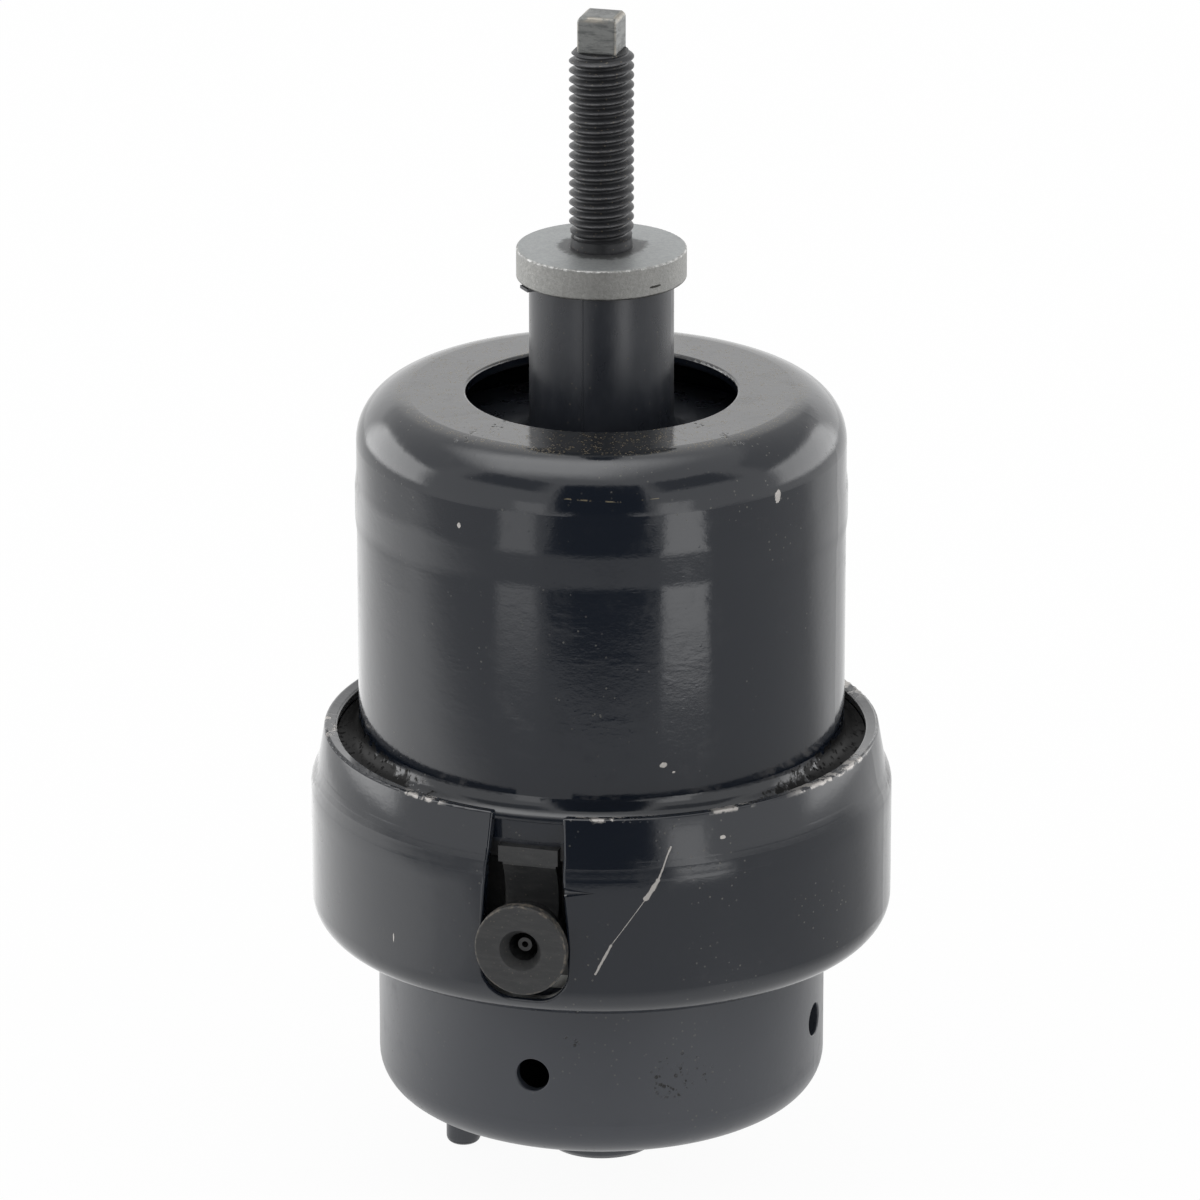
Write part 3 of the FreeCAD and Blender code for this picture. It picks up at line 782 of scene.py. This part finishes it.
@dataclass(frozen=True)
class Steel:
    """Bare or plated steel with rolling lines and stains."""

    name: str
    plating: Plating
    stain_shade: float = 0.6

    def build(self) -> Material:
        """Make the steel's material."""
        mix = Recipe(self.name)
        tint, roughness = self.plating.value
        lines = mix.noise(1.2, 4.0, 0.6, (4.0, 0.5, 1.0))
        patch = mix.noise(6.0, 3.0)
        dark = tuple(channel * self.stain_shade for channel in tint)
        colour = mix.mix(patch.rise(0.4, 0.7) * 0.5 + lines.rise(0.5, 0.8) * 0.2, tint, dark)
        return mix.finish(Base_Color=colour, Metallic=1.0, Normal=mix.bump(lines * 0.01),
                          Roughness=roughness + patch * 0.15)


# ------------------------------ sub-assemblies
def around(radius: float, turn: float, height: float) -> tuple[float, float, float]:
    """Place at a radius and a height, its bearing in radians from -Y towards +X."""
    return radius * math.sin(turn), -radius * math.cos(turn), height


def box_mm(node: str) -> tuple[Vector, Vector]:
    """Lowest and highest corners of a solid, in millimetres."""
    low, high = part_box(node)
    return Vector(low) / MM, Vector(high) / MM


def dress(names: Iterable[str], material: Material) -> None:
    """Give solids of the part a finish and report them."""
    for name in names:
        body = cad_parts[name]
        for slot in body.material_slots:
            slot.material = material
        if not body.material_slots:
            body.data.materials.append(material)
        log.info("dressed %s with %s", name, material.name)


def finish_piece(piece: Piece, material: Material,
                 replaced: str | None = None) -> None:
    """Put a finished new piece on the part.

    Args:
        piece: The piece, in place.
        material: Its finish.
        replaced: Solid that the piece stands for, if any.
    """
    Bench.settle(piece)
    piece.data.materials.clear()
    piece.data.materials.append(material)
    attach(piece, "root")
    if replaced:
        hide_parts(replaced)
    Bench.clear()
    log.info("built %s, %d faces", piece.name, len(piece.data.polygons))


@dataclass(frozen=True)
class Thread:
    """Metric thread of a diameter and a pitch, its flanks at sixty degrees."""

    diameter: float
    pitch: float
    depth: float = 0.92
    steps: int = 56

    def profile(self, start: float) -> list[Point]:
        """One pitch of the thread's outline from a height, root to root."""
        crest, root = self.diameter / 2, self.diameter / 2 - self.depth
        hollow, heel, shoulder = root + 0.03, root + 0.14, crest - 0.07
        shares = ((0.0, root), (0.09, hollow), (0.17, heel), (0.43, shoulder), (0.47, crest),
                  (0.55, crest), (0.59, shoulder), (0.85, heel), (0.93, hollow), (1.0, root))
        return [(radius, start + share * self.pitch) for share, radius in shares]

    def solid(self, name: str, bottom: float, top: float) -> Piece:
        """Closed threaded rod between two heights."""
        turns = math.ceil((top - bottom) / self.pitch) + 2
        rod = Bench.screw(name, self.profile(bottom - self.pitch), self.pitch, turns, self.steps)
        Bench.trim(rod, bottom, True)
        Bench.trim(rod, top, False)
        return rod


@dataclass
class Stud:
    """Top stud: shank in the core, plain collar, rolled thread and square end."""

    thread: Thread = Thread(10.0, 1.5)
    collar_dia: float = 9.6
    collar_length: float = 1.0
    square_side: float = 6.2
    square_length: float = 5.8
    square_edge: float = 0.95
    square_corner: float = 0.42
    end_chamfer: float = 0.9
    run_out: Point = (0.45, 2.6)
    neck_rise: float = 0.6
    overlap: float = 0.6
    spare: float = 0.3
    hair: float = 0.02

    def __post_init__(self) -> None:
        """Read the stud's own ends and the core's top from the solids."""
        low, high = box_mm("mounting_stud")
        self.bottom, self.top = low.z, high.z
        self.seat = box_mm("core")[1].z
        self.thread_bottom = self.seat + self.collar_length
        self.thread_top = self.top - self.square_length

    def threaded_rod(self) -> Piece:
        """Thread with a run-out at its foot and a chamfered first turn."""
        crest = self.thread.diameter / 2
        foot, end = self.thread_bottom, self.thread_top
        start, length = crest - self.thread.depth + self.run_out[0], self.run_out[1]
        rod = self.thread.solid("mounting_stud_threaded", foot, end)
        envelope = Bench.lathe("envelope", [
            (0, foot - 1), (start, foot - 1), (start, foot), (crest, foot + length),
            (crest + self.spare, foot + length + 1),
            (crest + self.spare, end - self.end_chamfer - self.spare),
            (crest, end - self.end_chamfer), (crest - self.end_chamfer, end + self.hair),
            (0, end + self.hair)])
        Bench.combine(rod, envelope, Join.INTERSECT)
        return rod

    def shank(self) -> Piece:
        """Plain lower half, from inside the core to the foot of the thread."""
        crest, collar = self.thread.diameter / 2, self.collar_dia / 2
        neck = crest - self.thread.depth + self.neck_rise
        foot, chamfer = self.thread_bottom, self.end_chamfer
        return Bench.lathe("shank", [
            (0, self.bottom), (crest - chamfer, self.bottom), (crest, self.bottom + chamfer),
            (crest, self.seat), (collar, self.seat), (collar, foot - 0.5), (neck, foot + 0.2),
            (neck, foot + self.overlap), (0, foot + self.overlap)])

    def square(self) -> Piece:
        """Square end with an uneven chamfer round its top and knocked corners."""
        foot = self.thread_top - self.overlap
        end = Bench.block("square_end", (self.square_side, self.square_side, self.top - foot),
                          (0, 0, (self.top + foot) / 2))
        Bench.faces_where(end, lambda centre, normal: normal.z > 0.9)
        bpy.ops.mesh.bevel(offset=self.square_edge * MM, segments=4, profile=0.5,
                           affect="EDGES")
        bpy.ops.object.mode_set(mode="OBJECT")
        Bench.soften(end, self.square_corner, segments=4, angle=50)
        with Bench.editing(end):
            bpy.ops.transform.rotate(value=-PORT_TURN, orient_axis="Z",
                                     center_override=(0, 0, 0))
        return end

    def build(self) -> None:
        """Model the stud, dress it and let it stand for its plain solid."""
        stud = self.threaded_rod()
        Bench.combine(stud, self.shank(), Join.UNION)
        Bench.combine(stud, self.square(), Join.UNION)
        Bench.smooth(stud, 28)
        steel = StudSteel("black_stud", self.thread.diameter / 2, self.thread_top,
                          self.square_side / 2, self.top)
        finish_piece(stud, steel.build(), "mounting_stud")


@dataclass
class BaseBoss:
    """Boss under the can with its tapped hole.

    Its rounded edges are given by how far each point lies in from the wall and away from
    the end, and its hole's mouth by how far each lies out from the crest and up.
    """

    thread: Thread = Thread(10.0, 1.5, 0.75)
    depth: float = 12.0
    spigot_dia: float = 13.0
    head_dia: float = 17.0
    sheet: float = 1.6
    foot_round: tuple[Point, ...] = ((0.8, 0.0), (0.2, 0.6), (0.0, 1.04))
    head_round: tuple[Point, ...] = ((0.0, 0.9), (0.3, 0.25), (0.95, 0.0))
    mouth: tuple[Point, ...] = ((0.9, -1.0), (0.15, 0.0), (-0.8, 0.8))
    mouth_top: float = 1.2

    def build(self, material: Material) -> None:
        """Model the boss, tap it and let it stand for its plain solid."""
        low, high = box_mm("base_boss")
        seat = box_mm("lower_can")[0].z
        spigot, head, crest = self.spigot_dia / 2, self.head_dia / 2, self.thread.diameter / 2
        foot = [(high.x - inset, low.z + rise) for inset, rise in self.foot_round]
        crown = [(head - inset, high.z - drop) for inset, drop in self.head_round]
        boss = Bench.lathe("base_boss_tapped", [
            (0, low.z), *foot, (high.x, seat), (spigot, seat), (spigot, seat + self.sheet),
            (head, seat + self.sheet), *crown, (0, high.z)])
        tap = self.thread.solid("tap", low.z - self.thread.pitch, low.z + self.depth)
        cone = [(crest + out, low.z + rise) for out, rise in self.mouth]
        mouth = Bench.lathe("mouth", [(0, cone[0][1]), *cone, (0, low.z + self.mouth_top)])
        Bench.combine(boss, tap, Join.DIFFERENCE)
        Bench.combine(boss, mouth, Join.DIFFERENCE)
        Bench.smooth(boss, 32)
        finish_piece(boss, material, "base_boss")


@dataclass
class NeckMarks:
    """Moulding marks of the rubber sleeve: its parting line and a flake of flash."""

    sleeve_dia: float = 22.4
    flange_dia: float = 26.3
    flange_height: float = 4.8
    line_foot: float = 6.5
    line_width: float = 0.24
    line_rise: float = 0.10
    line_root: float = 0.3
    line_round: float = 0.06
    line_bearing: float = 2.5
    flash_bearing: float = -46.5
    flash_size: tuple[float, float, float] = (2.6, 2.4, 0.5)
    flash_inset: float = 1.1
    flash_drop: float = 0.26

    def parting_line(self, name: str, bearing: float, bottom: float,
                     top: float) -> Piece:
        """Thin raised line up the sleeve at a bearing in degrees."""
        turn = math.radians(bearing)
        middle = (self.sleeve_dia + self.line_rise - self.line_root) / 2
        line = Bench.block(name, (self.line_width, self.line_rise + self.line_root, top - bottom),
                           around(middle, turn, (top + bottom) / 2), turn)
        Bench.soften(line, self.line_round)
        return line

    def flash(self, under: float, radius: float) -> Piece:
        """Torn flake of rubber that hangs over the flange's lower edge."""
        turn = math.radians(self.flash_bearing)
        flake = Bench.block("sleeve_flash", self.flash_size,
                            around(radius - self.flash_inset, turn, under - self.flash_drop),
                            turn)
        with Bench.editing(flake):
            bpy.ops.mesh.subdivide(number_cuts=4, fractal=0.12, seed=3)
        return flake

    def build(self, material: Material) -> None:
        """Model the marks and dress them."""
        under = box_mm("core")[1].z - self.flange_height
        foot = box_mm("upper_cup")[1].z - self.line_foot
        for index, bearing in enumerate((self.line_bearing, self.line_bearing + 180)):
            line = self.parting_line(f"sleeve_line_{index}", bearing, foot, under - 0.05)
            finish_piece(line, material)
        flake = self.flash(under, self.flange_dia / 2)
        finish_piece(flake, material)


@dataclass
class Housing:
    """Drawn cup, clamping housing and bonded ring under glossy enamel.

    Heights of the draw band and the lip count from the rims, and eases are reaches below
    and above a corner. Spots at the cup's top and foot are (bearing, half width, half height).
    """

    cup_sheet: float = 1.8
    band_drop: float = 15.1
    band_width: float = 5.0
    band_ease: float = 2.2
    band_rise: float = 0.25
    band_edge: float = 0.13
    taper_foot: Point = (-0.2, 1.4)
    taper_top: Point = (0.2, 1.8)
    lip_height: float = 8.6
    lip_step_height: float = 2.4
    lip_step_slope: float = 0.458
    lip_slope: float = 0.177
    lip_foot_ease: Point = (-1.09, 0.99)
    lip_step_ease: Point = (-0.58, 0.63)
    lip_curve_start: float = 3.5
    lip_curve_slope: float = 0.34
    cup: Enamel = Enamel(
        "cup_enamel", 38.1,
        chips=(Chip(62.5, 117.2, 0.6, 1.1), Chip(-17.0, 114.0, 0.3, 0.4),
               Chip(32.0, 77.3, 0.55, 0.4), Chip(34.5, 76.0, 0.3, 0.2)),
        soils=(Scratch((9.0, 120.3), (22.0, 119.9), 0.13),
               Scratch((27.0, 120.1), (33.0, 120.2), 0.08)))
    shell: Enamel = Enamel(
        "housing_enamel", 45.6, roughness=0.13,
        chips=(Chip(42.5, 66.8, 0.5, 0.3), Chip(-27.0, 47.2, 0.12, 0.7)),
        rim_wear=((-22.0, 7.0), (20.0, 11.0), (45.0, 6.0), (75.0, 18.0), (-70.0, 8.0),
                  (140.0, 20.0), (-150.0, 25.0)))
    top_pits: tuple[Spot, ...] = ((-23.0, 2.2, 1.0), (57.0, 1.6, 1.0))
    foot_pits: tuple[Spot, ...] = ((-60.0, 26.0, 2.6), (94.0, 24.0, 2.6))
    # spots of painted shade in the crevice between the cup's foot and the housing's rim
    foot_crevice_shade: tuple[Spot, ...] = ((-68.0, 27.0, 3.4), (100.0, 27.0, 3.2))
    scratch_path: tuple[Point, ...] = (
        (31.5, 66.3), (28.5, 61.5), (26.2, 58.6), (19.5, 51.2), (16.5, 46.5))
    scratch_widths: tuple[float, ...] = (0.15, 0.42, 0.06, 0.22)

    def band_relief(self, mix: Recipe) -> Wire:
        """Draw mark of the cup: its ends are eased, and its foot tapers to the wall."""
        top = box_mm("upper_cup")[1].z - self.band_drop
        foot = top - self.band_width
        slope = self.band_rise / self.band_ease
        height = mix.z * 0.0
        for corner, turn in ((foot - self.band_ease, -slope), (foot, slope), (top, slope),
                             (top + self.band_ease, -slope)):
            height = height + mix.z.bend(corner, (-self.band_edge, self.band_edge), turn)
        return (height + mix.z.bend(foot, self.taper_foot, slope / 2)
                - mix.z.bend(top, self.taper_top, slope / 2))

    def lip_relief(self, mix: Recipe) -> Wire:
        """Lip of the housing, whose step is eased into one long curve."""
        rim = box_mm("clamp_housing")[1].z
        foot = rim - self.lip_height
        step = foot + self.lip_step_height
        drop = self.lip_step_slope - self.lip_slope
        return (mix.z.bend(foot, self.lip_foot_ease, self.lip_step_slope)
                - mix.z.bend(step, self.lip_step_ease, drop)
                - mix.z.bend(foot, (-self.lip_curve_start, self.lip_height),
                             self.lip_curve_slope))

    def cup_enamel(self) -> Enamel:
        """Enamel of the cup, gritty on top, pitted round its foot, with painted shade in the
        crevice at its foot.
        """
        low, high = box_mm("upper_cup")
        foot = low.z + self.cup_sheet
        return replace(self.cup, crevice_shade=spots(foot, self.foot_crevice_shade), dusty_above=high.z,
                       pits=spots(high.z, self.top_pits) + spots(foot, self.foot_pits),
                       relief=self.band_relief)

    def shell_enamel(self) -> Enamel:
        """Enamel of the clamping housing, worn at its rim and scratched."""
        strokes = zip(self.scratch_path, self.scratch_path[1:], self.scratch_widths)
        return replace(self.shell, scratches=tuple(Scratch(*stroke) for stroke in strokes),
                       rim_height=box_mm("clamp_housing")[1].z, relief=self.lip_relief)

    def build(self) -> None:
        """Dress the drawn steel parts."""
        dress(("upper_cup", "bonded_ring"), self.cup_enamel().build())
        dress(("clamp_housing",), self.shell_enamel().build())


@dataclass
class Base:
    """Lower can with its boss and locating pin under satin enamel."""

    enamel: Enamel = Enamel(
        "can_enamel", 35.3, colour=(0.026, 0.030, 0.039), roughness=0.30, peel=0.010,
        pits=(Chip(38.0, 24.5, 6.0, 4.5), Chip(10.0, 31.0, 1.5, 1.2)))

    def build(self) -> None:
        """Dress the can and the pin, and model the boss."""
        material = self.enamel.build()
        dress(("lower_can", "locating_pin"), material)
        BaseBoss().build(material)


@dataclass
class Inside:
    """Rubber, track, membrane, spring and the steel rings inside the mount."""

    disc_radius: float = 7.25

    def build(self) -> None:
        """Dress everything between the cup and the can."""
        rubber = Rubber("black_rubber").build()
        dress(("main_rubber", "lower_diaphragm", "chamber_gasket", "switching_membrane"), rubber)
        marks = NeckMarks()
        marks.build(rubber)
        nipple_low, nipple_high = box_mm("port_nipple")
        plastic = Plastic("grey_plastic", -box_mm("track_body")[0].y,
                          (nipple_low.z + nipple_high.z) / 2, self.disc_radius)
        dress(("track_body", "port_nipple", "spring_seat"), plastic.build())
        dress(("diaphragm_ring", "track_cover", "membrane_clamp"),
              Steel("zinc_steel", Plating.ZINC).build())
        dress(("fill_ball", "return_spring"), Steel("spring_steel", Plating.SPRING).build())
        cast = CastFace("cast_alloy", marks.flange_dia / 2, box_mm("core")[1].z)
        dress(("core",), cast.build())


# ------------------------------ studio
@dataclass(frozen=True)
class Card:
    """Studio panel seen in reflections only: a light of a strength, or a dark flag.

    Its bearing is counted from the camera's, its tilt is 0 lying and 90 standing, and its
    feather is the share of its half size over which its edges fade.
    """

    name: str
    bearing: float
    distance: float
    height: float
    tilt: float
    width: float
    length: float
    strength: float
    feather: float = 0.3

    def paint(self) -> Material:
        """Even glow that fades towards the panel's edges."""
        mix = Recipe(self.name)
        half = 0.5 / MM
        across, along = ((abs(place) / half).rise(1.0, 1.0 - self.feather)
                         for place in (mix.x, mix.y))
        return mix.finish(Base_Color=(0, 0, 0), Specular_IOR_Level=0.0, Alpha=across * along,
                          Emission_Color=(1, 1, 1), Emission_Strength=self.strength)

    def build(self, facing: float) -> None:
        """Set the panel up round the part, for mirror rays alone.

        Args:
            facing: The camera's bearing, in degrees.
        """
        Bench.clear()
        bpy.ops.mesh.primitive_plane_add(size=1)
        panel = bpy.context.object
        panel.name = self.name
        panel.scale = (self.width, self.length, 1)
        turn = math.radians(facing + self.bearing)
        panel.rotation_euler = (math.radians(self.tilt), 0, turn)
        panel.location = around(self.distance, turn, self.height)
        panel.data.materials.append(self.paint())
        panel.visible_camera = panel.visible_diffuse = panel.visible_shadow = False
        panel.visible_transmission = panel.visible_volume_scatter = False
        panel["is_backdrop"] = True


@dataclass
class Studio:
    """Pale floor, even light, panels for the reflections, and the camera."""

    bearing: float = 17.68
    elevation: float = 19.43
    distance: float = 1.3138
    target_height: float = 0.0910
    target_side: float = -0.00023
    lens: float = 252.6
    sensor: float = 36.0
    sight: float = 100.0
    floor_size: float = 30.0
    floor_glow: float = 0.95
    floor_tones: tuple[Colour, Colour] = ((0.90, 0.90, 0.90), (0.93, 0.93, 0.93))
    cards: tuple[Card, ...] = (
        Card("table", 10, 0.160, 0.0005, 0, 1.15, 0.560, 0.58, 0.35),
        Card("foot_pool", 0, 0.0, 0.0008, 0, 0.300, 0.300, 0.95, 0.5),
        Card("left_floor", -118, 0.200, 0.0012, 0, 0.50, 0.340, 1.40, 0.5),
        Card("front_gap", 0, 0.509, 0.0014, 0, 0.300, 0.442, 0.05, 0.05),
        Card("right_strip", 37.5, 0.446, 0.0018, 0, 0.130, 0.330, 2.15, 0.14),
        Card("left_strip", -38.0, 0.446, 0.0018, 0, 0.132, 0.330, 1.35, 0.36),
        Card("right_window", 33, 0.600, 0.090, 90, 0.180, 0.230, 1.9, 0.3),
        Card("left_window", -32, 0.600, 0.090, 90, 0.180, 0.230, 1.5, 0.4),
        Card("front_flag", 0, 0.730, 0.340, 90, 0.66, 1.50, 0.03, 0.25),
        Card("left_flag", -50, 0.740, 0.800, 90, 0.70, 0.64, 0.36, 0.4),
        Card("right_flag", 50, 0.740, 0.800, 90, 0.70, 0.64, 0.33, 0.4),
        Card("left_light", -115, 0.90, 0.280, 90, 1.12, 0.62, 3.2, 0.4),
        Card("right_light", 115, 0.90, 0.280, 90, 1.12, 0.62, 2.7, 0.4),
        Card("left_wall", -125, 1.40, 1.400, 90, 2.60, 1.30, 0.85, 0.3),
        Card("right_wall", 125, 1.40, 1.400, 90, 2.60, 1.30, 0.68, 0.3),
        Card("backdrop", 180, 1.60, 0.310, 90, 4.2, 0.94, 1.30, 0.14),
        Card("top_light", -105, 0.22, 1.000, 0, 1.15, 1.15, 2.9, 0.75),
    )

    def floor(self, height: float) -> None:
        """Pale floor under the part that keeps the part's shadow."""
        Bench.clear()
        bpy.ops.mesh.primitive_plane_add(size=self.floor_size, location=(0, 0, height))
        ground = bpy.context.object
        ground.name = "floor"
        mix = Recipe("pale_floor")
        camera, mirror, through = (
            mix.node("ShaderNodeLightPath", {}, {}, f"Is {kind} Ray")
            for kind in ("Camera", "Glossy", "Transmission"))
        ground.data.materials.append(mix.finish(
            Base_Color=mix.mix(mix.noise(40.0, 2.0), *self.floor_tones),
            Roughness=1.0, Specular_IOR_Level=0.0))
        blend = mix.node("ShaderNodeMixShader", {}, {
            0: camera.over(mirror).over(through) * self.floor_glow,
            1: Wire(mix, mix.shader.outputs[0]), 2: mix.node("ShaderNodeEmission", {}, {})})
        mix.put(mix.output.inputs["Surface"], blend)
        ground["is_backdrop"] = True

    def light(self, height: float) -> None:
        """Even white surroundings, with panels above the floor that shape the reflections."""
        world = bpy.data.worlds.new("surroundings")
        bpy.context.scene.world = world
        world.use_nodes = True
        glow = world.node_tree.nodes["Background"]
        glow.inputs["Color"].default_value = (1, 1, 1, 1)
        glow.inputs["Strength"].default_value = 1.0
        for card in self.cards:
            replace(card, height=card.height + height).build(self.bearing)

    def camera(self) -> None:
        """Long-lens camera a little above the part."""
        turn, lift = math.radians(self.bearing), math.radians(self.elevation)
        away = Vector(around(math.cos(lift), turn, math.sin(lift)))
        side = Vector((math.cos(turn), math.sin(turn), 0))
        target = Vector((0, 0, self.target_height)) + side * self.target_side
        data = bpy.data.cameras.new("camera")
        data.lens = self.lens
        data.sensor_width = self.sensor
        data.clip_end = self.sight
        eye = bpy.data.objects.new("camera", data)
        bpy.context.scene.collection.objects.link(eye)
        look = away.to_track_quat("Z", "Y").to_matrix().to_4x4()
        eye.matrix_world = Matrix.Translation(target + away * self.distance) @ look
        bpy.context.scene.camera = eye

    def build(self, floor_height: float) -> None:
        """Set up the floor, the light and the camera."""
        self.floor(floor_height)
        self.light(floor_height)
        self.camera()
        bpy.context.scene.view_settings.view_transform = "Standard"


def main() -> None:
    """Build and dress the part, then the studio round it."""
    logging.basicConfig(level=logging.INFO, format="%(name)s: %(message)s")
    Bench.clear()
    lowest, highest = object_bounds()
    Stud().build()
    Housing().build()
    Base().build()
    Inside().build()
    Studio().build(lowest[2])
    lowest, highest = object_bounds()
    log.info("dressed part measures %s m", [round(h - l, 4) for l, h in zip(lowest, highest)])


if __name__ == "__main__":
    main()
